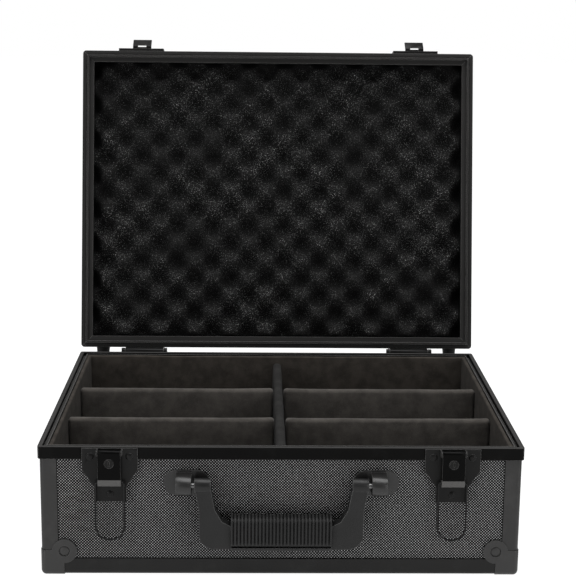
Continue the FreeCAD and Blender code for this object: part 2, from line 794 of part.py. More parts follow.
def build_lever():
    """A folded lever: a barrel on the pin at the top, a flat face, and a roll along its lower edge."""
    face = f"{PIVOT_Y} - @lever_barrel_radius"
    barrel = cylinder("lever_barrel", "X", (LATCH_X, PIVOT_Y, "@lever_pivot_level"),
                      "@lever_barrel_radius", "@lever_width")
    roll = cylinder("lever_roll", "X", (LATCH_X, PIVOT_Y, "@lever_roll_level"),
                    "@lever_roll_radius", "@lever_width")
    skin = span_box("lever_skin", (f"{LATCH_X} - @lever_width / 2", face, "@lever_roll_level"),
                    (f"{LATCH_X} + @lever_width / 2", f"{face} + @lever_skin", "@lever_pivot_level"))
    cheeks = []
    for i, sign in enumerate("-+"):
        outer = f"({LATCH_X} {sign} (@lever_width / 2 - @lever_skin / 2))"
        cheeks.append(span_box(f"lever_cheek_{i}",
                               (f"{outer} - @lever_skin / 2", face, "@lever_roll_level"),
                               (f"{outer} + @lever_skin / 2", f"{face} + @lever_cheek_depth",
                                "@lever_pivot_level")))
    pin_hole = cylinder("lever_pin_hole", "X", (LATCH_X, PIVOT_Y, "@lever_pivot_level"),
                        "@lever_pin_radius + @pin_clearance", "2 * @lever_width")
    wire_hole = cylinder("lever_wire_hole", "X", (LATCH_X, PIVOT_Y, "@lever_roll_level"),
                         "@bail_wire_radius + @pin_clearance", "2 * @lever_width")
    lock_hole = cylinder("lever_lock_hole", "Y", (LATCH_X, face, "@lock_level"),
                         "@lock_radius + @pin_clearance", "6 * @lever_skin")
    whole = fuse("lever_whole", barrel, roll, skin, *cheeks)
    pair("latch_lever", cut("latch_lever_left_piece", whole, pin_hole, wire_hole, lock_hole))


def build_lock():
    """The lock's plug with its key slot, and the cam behind it that hangs down when unlocked."""
    face = f"{PIVOT_Y} - @lever_barrel_radius"
    plug = cylinder("lock_plug", "Y",
                    (LATCH_X, f"{face} + (@lock_depth - @lock_proud) / 2", "@lock_level"),
                    "@lock_radius", "@lock_depth + @lock_proud")
    cam = span_box("lock_cam",
                   (f"{LATCH_X} - @lock_cam_width / 2", f"{face} + @lock_depth",
                    "@lock_level - @lock_cam_length"),
                   (f"{LATCH_X} + @lock_cam_width / 2", f"{face} + @lock_depth + @lock_cam_thickness",
                    "@lock_level"))
    slot = box("lock_key_slot", (LATCH_X, face, "@lock_level"),
               ("@key_slot_width", "2 * @key_slot_depth", "@key_slot_height"))
    pair("latch_lock", cut("latch_lock_left_piece", fuse("lock_whole", plug, cam), slot))


def build_bail():
    """A bent wire loop: two stubs in the lever's roll, two arms and a round end."""
    body = doc.addObject("PartDesign::Body", "bail_wire")
    path = sketch_on(body, "bail_path", "XZ_Plane")
    half, bend, stub = (number(a) for a in ("@bail_half_width", "@bail_bend", "@bail_stub_end"))
    drop = number("@lever_roll_level - @bail_bottom - @bail_wire_radius - @bail_half_width")

    def line(x0, z0, x1, z1):
        path.addGeometry(Part.LineSegment(Vector(x0, z0, 0), Vector(x1, z1, 0)), False)

    def arc(x, z, radius, start, end):
        circle = Part.Circle(Vector(x, z, 0), Z_AXIS, radius)
        path.addGeometry(Part.ArcOfCircle(circle, math.radians(start), math.radians(end)), False)

    line(-stub, 0, -half + bend, 0)
    arc(-half + bend, -bend, bend, 90, 180)
    line(-half, -bend, -half, -drop)
    arc(0, -drop, half, 180, 360)
    line(half, -drop, half, -bend)
    arc(half - bend, -bend, bend, 0, 90)
    line(half - bend, 0, stub, 0)
    pin_point(path, 0, 1, ("-@bail_stub_end", "0"))
    pin_point(path, 0, 2, ("-@bail_half_width + @bail_bend", "0"))
    pin_point(path, 2, 1, ("-@bail_half_width", "-@bail_bend"))
    round_level = "-(@lever_roll_level - @bail_bottom - @bail_wire_radius - @bail_half_width)"
    pin_point(path, 2, 2, ("-@bail_half_width", round_level))
    pin_point(path, 4, 1, ("@bail_half_width", round_level))
    pin_point(path, 4, 2, ("@bail_half_width", "-@bail_bend"))
    pin_point(path, 6, 1, ("@bail_half_width - @bail_bend", "0"))
    pin_point(path, 6, 2, ("@bail_stub_end", "0"))
    for arc_index, centre in ((1, ("-@bail_half_width + @bail_bend", "-@bail_bend")),
                              (3, ("0", round_level)),
                              (5, ("@bail_half_width - @bail_bend", "-@bail_bend"))):
        pin_point(path, arc_index, 3, centre)
    section = sketch_on(body, "bail_section", "YZ_Plane")
    section.AttachmentOffset.Base = Vector(0, 0, -stub)
    section.setExpression("AttachmentOffset.Base.z", d("-@bail_stub_end"))
    section.addGeometry(Part.Circle(Vector(0, 0, 0), Z_AXIS, number("@bail_wire_radius")), False)
    section.addConstraint(Sketcher.Constraint("Coincident", 0, 3, -1, 1))
    radius = section.addConstraint(Sketcher.Constraint("Radius", 0, number("@bail_wire_radius")))
    section.setExpression(f"Constraints[{radius}]", d("@bail_wire_radius"))
    pipe = body.newObject("PartDesign::AdditivePipe", "bail_pipe")
    pipe.Profile = section
    pipe.Spine = path
    pipe.Mode = "Frenet"
    move_to(body, (LATCH_X, PIVOT_Y, "@lever_roll_level"))
    pair("latch_bail", body)


def build_catches():
    """The lid's half of each latch: a riveted plate with a formed hook for the bail."""
    low = f"{LID_SEAM} + @catch_plate_lift"
    high = f"{low} + @catch_plate_height"
    half = "@catch_plate_width / 2"
    thickness_front = f"{FRONT} - @catch_plate_thickness"
    outline = [(f"{LATCH_X} - {half}", low), (f"{LATCH_X} + {half}", low),
               (f"{LATCH_X} + {half}", high), (f"{LATCH_X} - {half}", high)]
    blank = prism("catch_blank", "XZ_Plane", outline, f"@catch_plate_thickness + {PANEL_INSET}",
                  at=("0", f"{thickness_front} + (@catch_plate_thickness + {PANEL_INSET}) / 2", "0"))
    edge = f"{LID_SEAM} + @rim_height"
    rim_space = span_box("catch_rim_space", ("-@case_width", FRONT, LID_SEAM), ("0", "0", edge))
    level = f"{LID_SEAM} + @catch_hook_level"
    bend = f"{FRONT} - @catch_hook_bend"
    tip = f"{FRONT} - @catch_hook_reach"
    root = f"{thickness_front} + @catch_hook_root"
    section = [(root, level), (bend, level), (tip, f"{level} + @catch_hook_rise"),
               (tip, f"{level} + @catch_hook_rise + @catch_tip_height"),
               (bend, f"{level} + @catch_skin + @catch_bend_rise"),
               (f"{bend} + @catch_bend_run", f"{level} + @catch_skin"),
               (root, f"{level} + @catch_skin")]
    hook = prism("catch_hook", "YZ_Plane", section, "@lever_width", at=(LATCH_X, "0", "0"),
                 rounds=[("@catch_hook_round", (1,)), ("@catch_tip_round", (2, 3))])
    slot = box("catch_slot", (LATCH_X, f"{FRONT} - @catch_slot_reach", level),
               ("@catch_slot_width", "@catch_slot_depth", "4 * @rim_height"))
    spots = [(f"{LATCH_X} {sign} @catch_rivet_offset", f"{low} + @catch_plate_height / 2")
             for sign in "-+"]
    holes = [rivet_shank(f"catch_hole_{i}", x, thickness_front, z, "-")
             for i, (x, z) in enumerate(spots)]
    plate = cut("catch_plate", blank, rim_space, *holes)
    pair("lid_catch", fuse("catch_whole", plate, cut("catch_hook_cut", hook, slot)), on_lid=True)
    spots += [(f"-({x})", z) for x, z in spots]
    rivets("lid_catch_rivets", spots, thickness_front, -Y_AXIS, on_lid=True,
           radius="@latch_rivet_radius")


def hinge_leaf(name, width, low, high, rim_low, rim_high):
    """A hinge plate on the rear wall, its back stepped to sit on the rim and the panel."""
    half = f"{width} / 2"
    x = "-@hinge_offset"
    face = f"{REAR} + @hinge_plate_thickness"
    blank = span_box(name + "_blank", (f"{x} - {half}", f"{REAR} - ({PANEL_INSET})", low),
                     (f"{x} + {half}", face, high))
    rim = span_box(name + "_rim_space", ("-@case_width", "0", rim_low), ("0", REAR, rim_high))
    return cut(name + "_plate", blank, rim)


def hinge_rivet_spots(level):
    return [(f"-@hinge_offset {sign} @hinge_rivet_offset", level) for sign in "-+"]


def build_hinges():
    """Two leaves and a pin: the base leaf's ears stand beside the lid leaf and its barrel."""
    x = "-@hinge_offset"
    face = f"{REAR} + @hinge_plate_thickness"
    axis_at = (x, HINGE_Y, HINGE_Z)
    ear_inner = "(@hinge_barrel_length / 2 + @hinge_ear_gap)"
    base_top = f"{HINGE_Z} - @hinge_barrel_radius - @hinge_leaf_gap"
    base_leaf = hinge_leaf("hinge_base", "@hinge_plate_width", f"{base_top} - @hinge_plate_height",
                           base_top, f"{SEAM} - @rim_height", f"{SEAM} + @rim_height")
    ears = []
    for i, sign in enumerate("-+"):
        centre = f"({x} {sign} ({ear_inner} + @hinge_ear_width / 2))"
        ears.append(cylinder(f"hinge_ear_{i}", "X", (centre, HINGE_Y, HINGE_Z), "@hinge_barrel_radius",
                             "@hinge_ear_width"))
        ears.append(span_box(f"hinge_ear_web_{i}",
                             (f"{centre} - @hinge_ear_width / 2", REAR, f"{base_top} - @hinge_web"),
                             (f"{centre} + @hinge_ear_width / 2", HINGE_Y,
                              f"{HINGE_Z} - @hinge_ear_drop")))
    pin_hole = cylinder("hinge_pin_hole", "X", axis_at, "@hinge_pin_radius", "2 * @hinge_plate_width")
    base_spots = hinge_rivet_spots(f"{base_top} - @hinge_rivet_distance")
    holes = [rivet_shank(f"hinge_base_hole_{i}", u, face, z, "") for i, (u, z) in enumerate(base_spots)]
    pair("hinge_base_leaf", cut("hinge_base_left", fuse("hinge_base_whole", base_leaf, *ears),
                                pin_hole, *holes))

    lid_low = f"{LID_SEAM} + @hinge_lid_lift"
    lid_leaf = hinge_leaf("hinge_lid", "@hinge_barrel_length", lid_low, f"{lid_low} + @hinge_lid_height",
                          LID_SEAM, f"{LID_SEAM} + @rim_height")
    barrel = cylinder("hinge_barrel", "X", axis_at, "@hinge_barrel_radius", "@hinge_barrel_length")
    web = span_box("hinge_lid_web", (f"{x} - @hinge_barrel_length / 2", REAR, lid_low),
                   (f"{x} + @hinge_barrel_length / 2", HINGE_Y, f"{HINGE_Z} + @hinge_barrel_radius"))
    bore = cylinder("hinge_barrel_bore", "X", axis_at, "@hinge_pin_radius + @pin_clearance",
                    "2 * @hinge_plate_width")
    lid_spots = hinge_rivet_spots(f"{lid_low} + @hinge_rivet_distance")
    lid_holes = [rivet_shank(f"hinge_lid_hole_{i}", u, face, z, "")
                 for i, (u, z) in enumerate(lid_spots)]
    pair("hinge_lid_leaf", cut("hinge_lid_left", fuse("hinge_lid_whole", lid_leaf, barrel, web),
                               bore, *lid_holes), on_lid=True)

    pin = cylinder("hinge_pin", "X", axis_at, "@hinge_pin_radius",
                   f"2 * ({ear_inner} + @hinge_ear_width)")
    node("hinge_pins", pin, mirrored("hinge_pin_twin", pin))
    rivets("hinge_base_rivets", base_spots + [(f"-({u})", z) for u, z in base_spots], face, Y_AXIS)
    rivets("hinge_lid_rivets", lid_spots + [(f"-({u})", z) for u, z in lid_spots], face, Y_AXIS,
           on_lid=True)


# ---- handle ----

HANDLE_Y = f"-({PANEL_FACE}) - @handle_stand"


def build_brackets():
    """An oval plate on the front panel with a barrel that carries the handle's pin."""
    plate = cylinder("bracket_disc", "Y", ("0", "0", "0"), "@bracket_height / 2", "@bracket_thickness")
    x = "-@bracket_offset"
    z = "@handle_level - @bracket_drop"
    y = f"-({PANEL_FACE}) - @bracket_thickness / 2"
    reach = "(@bracket_width - @bracket_height) / 2"
    ends = [placed(f"bracket_end_{i}", plate, (f"{x} {sign} {reach}", y, z), Rotation())
            for i, sign in enumerate("-+")]
    middle = box("bracket_middle", (x, y, z), (f"2 * {reach}", "@bracket_thickness", "@bracket_height"))
    barrel_x = "-@barrel_offset"
    barrel = cylinder("bracket_barrel", "X", (barrel_x, HANDLE_Y, "@handle_level"), "@barrel_radius",
                      "@barrel_length")
    block = span_box("bracket_block",
                     (f"{barrel_x} - @barrel_length / 2", HANDLE_Y, "@handle_level - @barrel_radius"),
                     (f"{barrel_x} + @barrel_length / 2", f"-({PANEL_FACE}) - @bracket_thickness / 2",
                      "@handle_level + @barrel_radius"))
    bore = cylinder("bracket_bore", "X", (barrel_x, HANDLE_Y, "@handle_level"), "@handle_pin_radius",
                    "2 * @bracket_width")
    pair("handle_bracket", cut("bracket_piece", fuse("bracket_whole", *ends, middle, barrel, block), bore))
    inner = "(@handle_arm_inner + @handle_pin_recess)"
    outer = "(@barrel_offset + @barrel_length / 2)"
    pin = cylinder("handle_pin", "X", (f"-({outer} + {inner}) / 2", HANDLE_Y, "@handle_level"),
                   "@handle_pin_radius", f"{outer} - {inner}")
    node("handle_pins", pin, mirrored("handle_pin_twin", pin))


def build_handle():
    """A moulded U: two arms with eyes, corners that flare into the bar, and a core for the grip."""
    outer, inner, grip = "@handle_arm_outer", "@handle_arm_inner", "@grip_half_length"
    level = "@handle_level"
    arm_end = "@grip_top + @handle_corner_round / 2"
    right = [(outer, level), (f"{outer} - @handle_arm_lean", arm_end),
             (f"{outer} - @handle_corner_lean", "@handle_bottom"), (grip, "@handle_bottom")]
    inside = [(inner, level), (f"{inner} - @handle_arm_lean", arm_end),
              (f"{grip} + @handle_flare", "@handle_shoulder + @handle_flare_rise"),
              (grip, "@handle_shoulder")]
    outline = right + [(f"-({u})", v) for u, v in reversed(right)]
    outline += [(f"-({u})", v) for u, v in inside] + list(reversed(inside))
    y = HANDLE_Y
    arms = prism("handle_arms", "XZ_Plane", outline, "@handle_arm_depth", at=("0", y, "0"),
                 rounds=[("@handle_corner_round", (2, 5))])
    gap = span_box("handle_gap", (f"-({grip})", f"{y} - @grip_depth", "@grip_core_top"),
                   (grip, f"{y} + @grip_depth", "2 * @handle_shoulder"))
    eyes = [cylinder(f"handle_eye_{i}", "X", (f"{sign}({outer} + {inner}) / 2", y, level),
                     "@handle_eye_radius", f"{outer} - {inner}")
            for i, sign in enumerate(("-", ""))]
    strip = span_box("handle_strip", (f"-({grip})", f"{y} - @grip_strip_depth / 2", "@handle_bottom"),
                     (grip, f"{y} + @grip_strip_depth / 2", "@grip_bottom"))
    bore = cylinder("handle_bore", "X", ("0", y, level), "@handle_pin_radius + @handle_clearance",
                    "@case_width")
    body = cut("handle_body", arms, gap)
    node("handle_frame", cut("handle_piece", fuse("handle_whole", body, *eyes, strip), bore))


def build_grip():
    """A ribbed saddle moulded over the handle's core."""
    y, half = HANDLE_Y, "@grip_depth / 2"
    outline = [(f"{y} - {half}", "@grip_bottom"), (f"{y} + {half}", "@grip_bottom"),
               (f"{y} + {half}", "@grip_top"), (f"{y} - {half}", "@grip_top")]
    blank = prism("grip_blank", "YZ_Plane", outline, "2 * @grip_half_length",
                  rounds=[("@grip_round", (0, 1, 2, 3))])
    near = f"{y} - {half} + @rib_depth"
    far = f"{y} + {half} - @rib_depth"
    top = "@grip_top - @rib_depth"
    inner = [(near, "@grip_bottom / 2"), (far, "@grip_bottom / 2"), (far, top), (near, top)]
    kept = prism("grip_kept", "YZ_Plane", inner, "2 * @grip_half_length",
                 rounds=[("@grip_round - @rib_depth", (2, 3))])
    count = int(number("2 * @grip_half_length / @rib_pitch"))
    slots = []
    for i in range(count):
        x = f"-@grip_half_length + {i + 0.5} * @rib_pitch + @rib_groove / 2"
        slots.append(box(f"rib_slot_{i}", (x, y, "(@grip_bottom + @grip_top) / 2"),
                         ("@rib_groove", "2 * @grip_depth", "@grip_top")))
    grooves = cut("grip_grooves", fuse("grip_slots", *slots), kept)
    core = span_box("grip_core_space", ("-@case_width / 2", f"{y} - @grip_core_depth / 2", "0"),
                    ("@case_width / 2", f"{y} + @grip_core_depth / 2", "@grip_core_top"))
    node("handle_grip", cut("grip_piece", blank, grooves, core))


for half in (BASE, LID):
    build_rims(half)
    build_rails(half)
    build_posts(half)
    build_panels(half)
    build_caps(half)
    build_feet(half)
build_lining()
build_dividers()
build_foam()
build_latch_plate()
build_lever()
build_lock()
build_bail()
build_catches()
build_hinges()
build_brackets()
build_handle()
build_grip()
doc.recompute()

failed = [obj.Name for obj in doc.Objects if {"Invalid", "Error"} & set(obj.State)]
for obj in nodes:
    if obj.Shape.isNull() or not obj.Shape.isValid() or not obj.Shape.Solids:
        failed.append(obj.Label)
if failed:
    raise RuntimeError(f"these did not build: {failed}")

os.makedirs("parts", exist_ok=True)
for obj in nodes:
    obj.Shape.exportStep(f"parts/{obj.Label}.step")
print(f"{len(nodes)} nodes, {sum(len(obj.Shape.Solids) for obj in nodes)} solids")
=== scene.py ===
import json
import math

import bpy
import numpy as np
from mathutils import Matrix, Vector, noise


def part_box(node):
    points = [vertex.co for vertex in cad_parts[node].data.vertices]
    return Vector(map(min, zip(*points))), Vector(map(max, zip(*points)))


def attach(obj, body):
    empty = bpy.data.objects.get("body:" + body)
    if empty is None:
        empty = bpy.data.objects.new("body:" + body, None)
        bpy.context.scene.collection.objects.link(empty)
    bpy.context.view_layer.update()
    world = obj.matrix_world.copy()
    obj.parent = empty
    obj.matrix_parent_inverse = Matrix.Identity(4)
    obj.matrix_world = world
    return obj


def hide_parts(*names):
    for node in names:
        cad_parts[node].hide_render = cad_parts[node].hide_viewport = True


# An aluminium-framed carry case, open, on a pale studio floor. The places and sizes of the case's
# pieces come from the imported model; the camera, the lights and the floor are set here. Lengths are in
# metres unless a name says otherwise.

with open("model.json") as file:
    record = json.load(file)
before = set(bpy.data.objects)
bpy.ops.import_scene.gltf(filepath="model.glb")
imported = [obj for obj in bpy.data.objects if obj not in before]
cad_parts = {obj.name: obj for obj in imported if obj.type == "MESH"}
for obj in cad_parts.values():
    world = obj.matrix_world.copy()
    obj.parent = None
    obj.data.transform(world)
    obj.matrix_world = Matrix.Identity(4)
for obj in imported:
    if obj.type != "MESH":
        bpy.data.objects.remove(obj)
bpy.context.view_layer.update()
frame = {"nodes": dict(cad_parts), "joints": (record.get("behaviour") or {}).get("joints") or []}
nodes = frame["nodes"]
joints = {joint["name"]: joint for joint in frame["joints"]}
scene = bpy.context.scene
MM = 0.001

LID_OPEN = math.radians(-joints["lid_hinge"]["range_deg"][0])
HINGE = Vector(joints["lid_hinge"]["pos_m"])
SHUT_TURN = Matrix.Translation(HINGE) @ Matrix.Rotation(LID_OPEN, 4, "X") @ Matrix.Translation(-HINGE)
OPEN_TURN = SHUT_TURN.inverted()


# ---- camera, lights and floor ----

CAMERA_AT = (-0.02616, -1.45637, 0.56104)
YAW_PITCH_ROLL_DEG = (1.345, 12.340, 0.645)
LENS_MM = 90.48
SENSOR_MM = 36
CLIP = (0.05, 30)
# The world's strength on the object. The camera sees it at 1, as a white backdrop, and the floor glows
# so that it looks as white.
WORLD_FILL = 0.2
FLOOR_GLOW = 0.96
FLOOR_REACH = 8.0
WHITE = (1, 1, 1, 1)


def add_camera():
    yaw, pitch, roll = (math.radians(a) for a in YAW_PITCH_ROLL_DEG)
    forward = Vector((math.sin(yaw) * math.cos(pitch), math.cos(yaw) * math.cos(pitch),
                      -math.sin(pitch)))
    right = Vector((math.cos(yaw), -math.sin(yaw), 0))
    up = right.cross(forward)
    side = right * math.cos(roll) + up * math.sin(roll)
    top = up * math.cos(roll) - right * math.sin(roll)
    data = bpy.data.cameras.new("camera")
    data.lens = LENS_MM
    data.sensor_width = SENSOR_MM
    data.clip_start, data.clip_end = CLIP
    camera = bpy.data.objects.new("camera", data)
    scene.collection.objects.link(camera)
    turn = Matrix((side, top, -forward)).transposed().to_4x4()
    camera.matrix_world = Matrix.Translation(CAMERA_AT) @ turn
    scene.camera = camera


def add_light(name, at, target, size, power):
    data = bpy.data.lights.new(name, "AREA")
    data.shape = "RECTANGLE"
    data.size, data.size_y = size
    data.energy = power
    light = bpy.data.objects.new(name, data)
    scene.collection.objects.link(light)
    light.location = at
    light.rotation_mode = "QUATERNION"
    light.rotation_quaternion = (Vector(target) - Vector(at)).to_track_quat("-Z", "Y")


def add_studio():
    add_light("overhead", at=(0.0, -0.1, 2.1), target=(0, 0.05, 0.1), size=(2.2, 1.8), power=62)
    for name, side, power in (("left_front", -1, 3.6), ("right_front", 1, 3.3)):
        add_light(name, at=(side * 0.85, -0.95, 0.35), target=(side * 0.22, -0.17, 0.06),
                  size=(0.35, 0.8), power=power)
    world = bpy.data.worlds.new("studio")
    world.use_nodes = True
    tree = world.node_tree
    seen = tree.nodes.new("ShaderNodeLightPath").outputs["Is Camera Ray"]
    level = tree.nodes.new("ShaderNodeMapRange")
    level.inputs["To Min"].default_value = WORLD_FILL
    tree.links.new(seen, level.inputs["Value"])
    tree.links.new(level.outputs[0], tree.nodes["Background"].inputs["Strength"])
    tree.nodes["Background"].inputs["Color"].default_value = WHITE
    scene.world = world
    mesh = bpy.data.meshes.new("floor")
    corners = ((-1, -1), (1, -1), (1, 1), (-1, 1))
    mesh.from_pydata([(x * FLOOR_REACH, y * FLOOR_REACH, 0) for x, y in corners], [], [(0, 1, 2, 3)])
    floor = bpy.data.objects.new("floor", mesh)
    scene.collection.objects.link(floor)
    look = Look("floor_paint", 0.18, 0.8)
    look.colour(look.mix(look.noise(60, 3), grey(0.17), grey(0.19)))
    look.set(specular=0.1)
    look.shader.inputs["Emission Color"].default_value = WHITE
    look.shader.inputs["Emission Strength"].default_value = FLOOR_GLOW
    look.dress(floor)
    scene.view_settings.view_transform = "Standard"


# ---- procedural materials ----

SOCKETS = {"specular": "Specular IOR Level", "metallic": "Metallic", "sheen": "Sheen Weight",
           "sheen_roughness": "Sheen Roughness"}
# Where the Mix node keeps its factor and its two colours, and its colour result.
COLOUR_MIX_INPUTS = (0, 6, 7)
COLOUR_MIX_OUTPUT = 2


class Look:
    """A procedural material, wired up step by step in the piece's own coordinates."""

    def __init__(self, name, tone, roughness):
        self.material = bpy.data.materials.new(name)
        self.material.use_nodes = True
        self.tree = self.material.node_tree
        self.shader = self.tree.nodes["Principled BSDF"]
        self.shader.inputs["Base Color"].default_value = grey(tone)
        self.shader.inputs["Roughness"].default_value = roughness
        self.place = self.node("TexCoord").outputs["Object"]

    def node(self, kind, inputs=None, **settings):
        made = self.tree.nodes.new("ShaderNode" + kind)
        for key, value in settings.items():
            setattr(made, key, value)
        for key, value in (inputs or {}).items():
            self.put(made.inputs[key], value)
        return made

    def put(self, socket, value):
        if isinstance(value, bpy.types.NodeSocket):
            self.tree.links.new(value, socket)
        else:
            socket.default_value = value

    def math(self, operation, *values):
        made = self.node("Math", operation=operation)
        for socket, value in zip(made.inputs, values):
            self.put(socket, value)
        return made.outputs[0]

    def stretched(self, scale):
        return self.node("Mapping", {"Vector": self.place, "Scale": scale}).outputs[0]

    def noise(self, scale, detail=2, roughness=0.5, at=None):
        made = self.node("TexNoise", {"Vector": at or self.place, "Scale": scale, "Detail": detail,
                                      "Roughness": roughness})
        return made.outputs["Fac"]

    def cells(self, scale):
        return self.node("TexVoronoi", {"Vector": self.place, "Scale": scale}).outputs["Distance"]

    def span(self, value, low, high, to_low=0.0, to_high=1.0):
        made = self.node("MapRange", {"Value": value, "From Min": low, "From Max": high,
                                      "To Min": to_low, "To Max": to_high},
                         interpolation_type="SMOOTHSTEP")
        return made.outputs[0]

    def mix(self, factor, first, second):
        made = self.node("Mix", data_type="RGBA")
        for place, value in zip(COLOUR_MIX_INPUTS, (factor, first, second)):
            self.put(made.inputs[place], value)
        return made.outputs[COLOUR_MIX_OUTPUT]

    def bump(self, height, distance, strength=1.0):
        made = self.node("Bump", {"Height": height, "Distance": distance, "Strength": strength})
        before = self.shader.inputs["Normal"]
        if before.links:
            self.put(made.inputs["Normal"], before.links[0].from_socket)
        self.put(before, made.outputs[0])

    def edges(self, width):
        """1 along the piece's sharp edges and 0 on its faces."""
        eased = self.node("Bevel", {"Radius": width}, samples=4).outputs[0]
        normal = self.node("NewGeometry").outputs["Normal"]
        match = self.node("VectorMath", {0: eased, 1: normal}, operation="DOT_PRODUCT")
        return self.span(match.outputs["Value"], 0.99, 0.85)

    def colour(self, value):
        self.put(self.shader.inputs["Base Color"], value)

    def roughness(self, value):
        self.put(self.shader.inputs["Roughness"], value)

    def set(self, **values):
        """Uniform settings, straight on the shader."""
        for key, value in values.items():
            self.shader.inputs[SOCKETS[key]].default_value = value

    def dress(self, piece):
        if not piece.material_slots:
            piece.data.materials.append(self.material)
        for slot in piece.material_slots:
            slot.material = self.material


PAINT_WARMTH = 0.02
PAINTED_HIGHLIGHT_FADE = 0.2 * MM
METAL_EDGE = 0.6 * MM
PLASTIC_EDGE = 1.2 * MM
FILM_PITCH = 2.75 * MM
FOAM_SHADE_REACH = 18 * MM
PLASTIC_SHADE_REACH = 3 * MM


def grey(value, warmth=0.0):
    return (value * (1 + warmth), value, value * (1 - warmth), 1)


def openness(look, distance):
    """How open a point is to what lies within `distance`, from ambient occlusion: 0 far inside a hollow
    and 1 on a free face. The looks use it to paint shade into hollows.
    """
    return look.node("AmbientOcclusion", {"Distance": distance}, samples=6).outputs["AO"]


def coated_metal(name, tone, roughness, specular, peel_mm=0.03, edge=0.0, faces=None, painted_highlight_below=None):
    """Paint or powder on metal: a faint orange peel, cloudy sheen, spots worn by rubbing and fine
    scuffs.
    `edge` is the tone of its edges: painted highlights along them, with a little edge wear. `faces` is
    (direction, tone) for the faces that look that way, painted light as if lit from there, and the last
    argument is (level, tone) for the part below a level, a painted highlight."""

    def shade(value):
        return grey(value, PAINT_WARMTH)

    look = Look(name, tone, roughness)
    clouds = look.noise(9, 3)
    rub = look.span(look.noise(45, 5, 0.65), 0.52, 0.72)
    scuff = look.span(look.noise(120, 2, at=look.stretched((1, 1, 14))), 0.66, 0.74, 0, 0.7)
    base = look.mix(clouds, shade(tone * 0.8), shade(tone * 1.25))
    worn = look.mix(look.math("MULTIPLY", rub, 0.35), base, shade(tone * 2.2))
    paint = look.mix(look.math("MULTIPLY", scuff, 0.25), worn, shade(tone * 3.5))
    # Faces turned towards `direction` get a lighter tone, as if lit from there: painted light.
    if faces:
        direction, lit = faces
        normal = look.node("TexCoord").outputs["Normal"]
        facing = look.node("VectorMath", {0: normal, 1: direction}, operation="DOT_PRODUCT")
        painted_lit_cloud = look.mix(clouds, shade(lit * 0.75), shade(lit * 1.3))
        paint = look.mix(look.span(facing.outputs["Value"], 0.3, 0.85), paint, painted_lit_cloud)
    # Below a level the paint turns lighter: a painted highlight.
    if painted_highlight_below:
        level, lit = painted_highlight_below
        up = look.node("SeparateXYZ", {"Vector": look.place}).outputs["Z"]
        paint = look.mix(look.span(up, level + PAINTED_HIGHLIGHT_FADE, level - PAINTED_HIGHLIGHT_FADE), paint, shade(lit))
    # Lighter edges: painted highlights along them, with a little edge wear.
    if edge:
        paint = look.mix(look.edges(METAL_EDGE), paint, shade(edge))
    look.colour(paint)
    look.roughness(look.span(look.noise(30, 4), 0.3, 0.7, roughness - 0.07, roughness + 0.09))
    look.set(specular=specular)
    look.bump(look.noise(1600, 2), peel_mm * MM)
    return look


def woven_film(name, across, down, closed=None):
    """Black film printed and pressed with a fine diagonal lattice of raised grey diamonds. `across` and
    `down` are the two axes of the panel's plane; `closed` turns a lid panel back to the closed lid."""
    look = Look(name, 0.1, 0.42)
    place = look.place
    if closed is not None:
        place = look.node("Mapping", {"Vector": place, "Rotation": closed}).outputs[0]
    parts = look.node("SeparateXYZ", {"Vector": place})
    u, v = parts.outputs[across], parts.outputs[down]
    turns = 2 * math.pi / FILM_PITCH
    waves = []
    for operation in ("ADD", "SUBTRACT"):
        phase = look.math("MULTIPLY", look.math(operation, u, v), turns)
        waves.append(look.math("MULTIPLY_ADD", look.math("COSINE", phase), 0.5, 0.5))
    dots = look.math("MULTIPLY", *waves)
    fibre = look.noise(500, 2)
    bright = look.mix(look.span(look.noise(7, 2), 0.35, 0.65), grey(0.5), grey(0.6))
    face = look.span(dots, 0.48, 0.84)
    pattern = look.mix(look.math("MULTIPLY", fibre, 0.5), bright, grey(0.35))
    look.colour(look.mix(face, grey(0.001), pattern))
    look.roughness(look.span(face, 0, 1, 0.36, 0.5))
    look.set(specular=0.1)
    look.bump(dots, 0.12 * MM)
    return look


def felt(name, tone, warmth, sheen):
    """Short matted fibres: mottled colour, a nap that catches the light and a soft uneven surface."""
    look = Look(name, tone, 0.95)
    mottle = look.noise(70, 5, 0.6)
    nap = look.noise(900, 3, 0.7)
    strands = look.noise(420, 3, 0.7, at=look.stretched((1, 1, 3.5)))
    base = look.mix(look.span(mottle, 0.3, 0.7), grey(tone * 0.72, warmth),
                    grey(tone * 1.25, warmth))
    lit = look.mix(look.span(nap, 0.55, 0.8, 0, 0.5), base, grey(tone * 2.4, warmth))
    look.colour(look.mix(look.span(strands, 0.6, 0.8, 0, 0.35), lit, grey(tone * 0.4, warmth)))
    look.set(specular=0.1, sheen=sheen, sheen_roughness=0.5)
    look.bump(strands, 0.25 * MM)
    look.bump(nap, 0.12 * MM)
    return look


def open_foam(name):
    """Charcoal polyurethane foam: open cells and scattered pale cell walls, partly painted highlights,
    kept off the hollows, which get painted shade.
    """
    look = Look(name, 0.012, 0.9)
    cells = look.cells(780)
    grains = look.noise(1100, 1)
    patches = look.span(look.noise(16, 3), 0.3, 0.7, 0.3, 1)
    # Painted shade: the foam is darkened where its hollows close in. The pale specks on the cell walls,
    # partly their own colour and partly painted highlights, show only outside this shade.
    painted_shade_mask = look.span(openness(look, FOAM_SHADE_REACH), 0.45, 0.95)
    walls = look.math("MULTIPLY", look.span(grains, 0.64, 0.72), patches)
    painted_glint = look.math("MULTIPLY", walls, painted_shade_mask)
    pores = look.mix(look.span(cells, 0.1, 0.6), grey(0.002), grey(0.009, 0.01))
    pores_in_painted_shade = look.mix(painted_shade_mask, grey(0.001), pores)
    look.colour(look.mix(painted_glint, pores_in_painted_shade, grey(0.34, 0.01)))
    look.set(specular=0.08)
    look.bump(cells, 0.5 * MM, 0.7)
    return look


